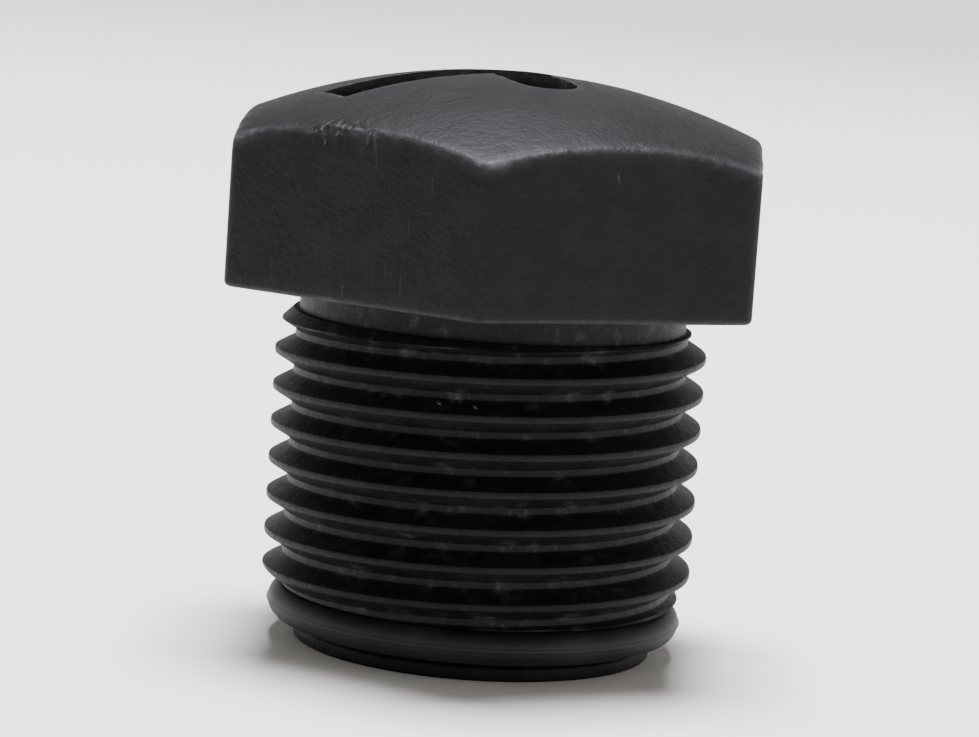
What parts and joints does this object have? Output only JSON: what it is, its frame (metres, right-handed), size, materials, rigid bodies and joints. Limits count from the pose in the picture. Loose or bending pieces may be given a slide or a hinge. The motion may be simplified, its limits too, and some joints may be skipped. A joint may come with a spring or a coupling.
{
  "type": "screw-in blanking plug for a round connector socket",
  "caption": "Black plastic screw-in blanking plug with a slotted, domed hexagon head, a metric fine thread, a hollow shank and a sealing ring on its nose.",
  "frame": {"origin": "centre of the tip of the nose, on the plane the plug stands on", "axes": "+Z along the thread axis towards the domed head; +X along the driver slot, which runs from corner to corner of the hexagon"},
  "size_m": [0.016, 0.014, 0.0159],
  "materials": {
    "black_polyamide": "matte moulded glass-filled polyamide with a fine spark-eroded grain",
    "seal_rubber": "smooth moulded nitrile rubber"
  },
  "bodies": {
    "root": {"plug_body": "black_polyamide", "o_ring": "seal_rubber"}
  },
  "joints": []
}
